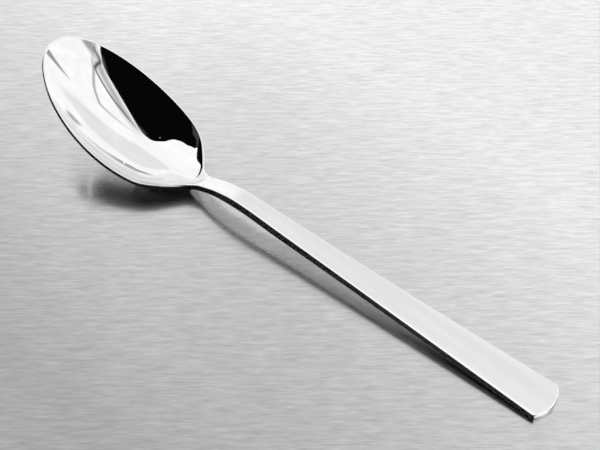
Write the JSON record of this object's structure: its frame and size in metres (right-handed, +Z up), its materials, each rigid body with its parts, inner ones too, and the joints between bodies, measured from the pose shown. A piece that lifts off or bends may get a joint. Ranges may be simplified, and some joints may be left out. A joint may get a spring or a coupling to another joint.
{
  "type": "soup spoon",
  "caption": "Table spoon for soup: an egg-shaped bowl tilted up to its tip, a low arched neck and a flat bar handle that widens to a gently curved end.",
  "frame": {"origin": "on the table plane, under the middle of the spoon's length and width", "axes": "+X from the tip of the bowl to the end of the handle, +Y across the spoon, +Z up out of the hollow of the bowl"},
  "size_m": [0.206, 0.0386, 0.0317],
  "materials": {
    "polished_steel_bowl": "mirror-polished stainless steel",
    "polished_steel_neck": "mirror-polished stainless steel",
    "polished_steel_handle": "mirror-polished stainless steel with fine lengthwise polishing lines"
  },
  "bodies": {
    "root": {"bowl": "polished_steel_bowl", "neck": "polished_steel_neck", "handle": "polished_steel_handle"}
  },
  "joints": []
}
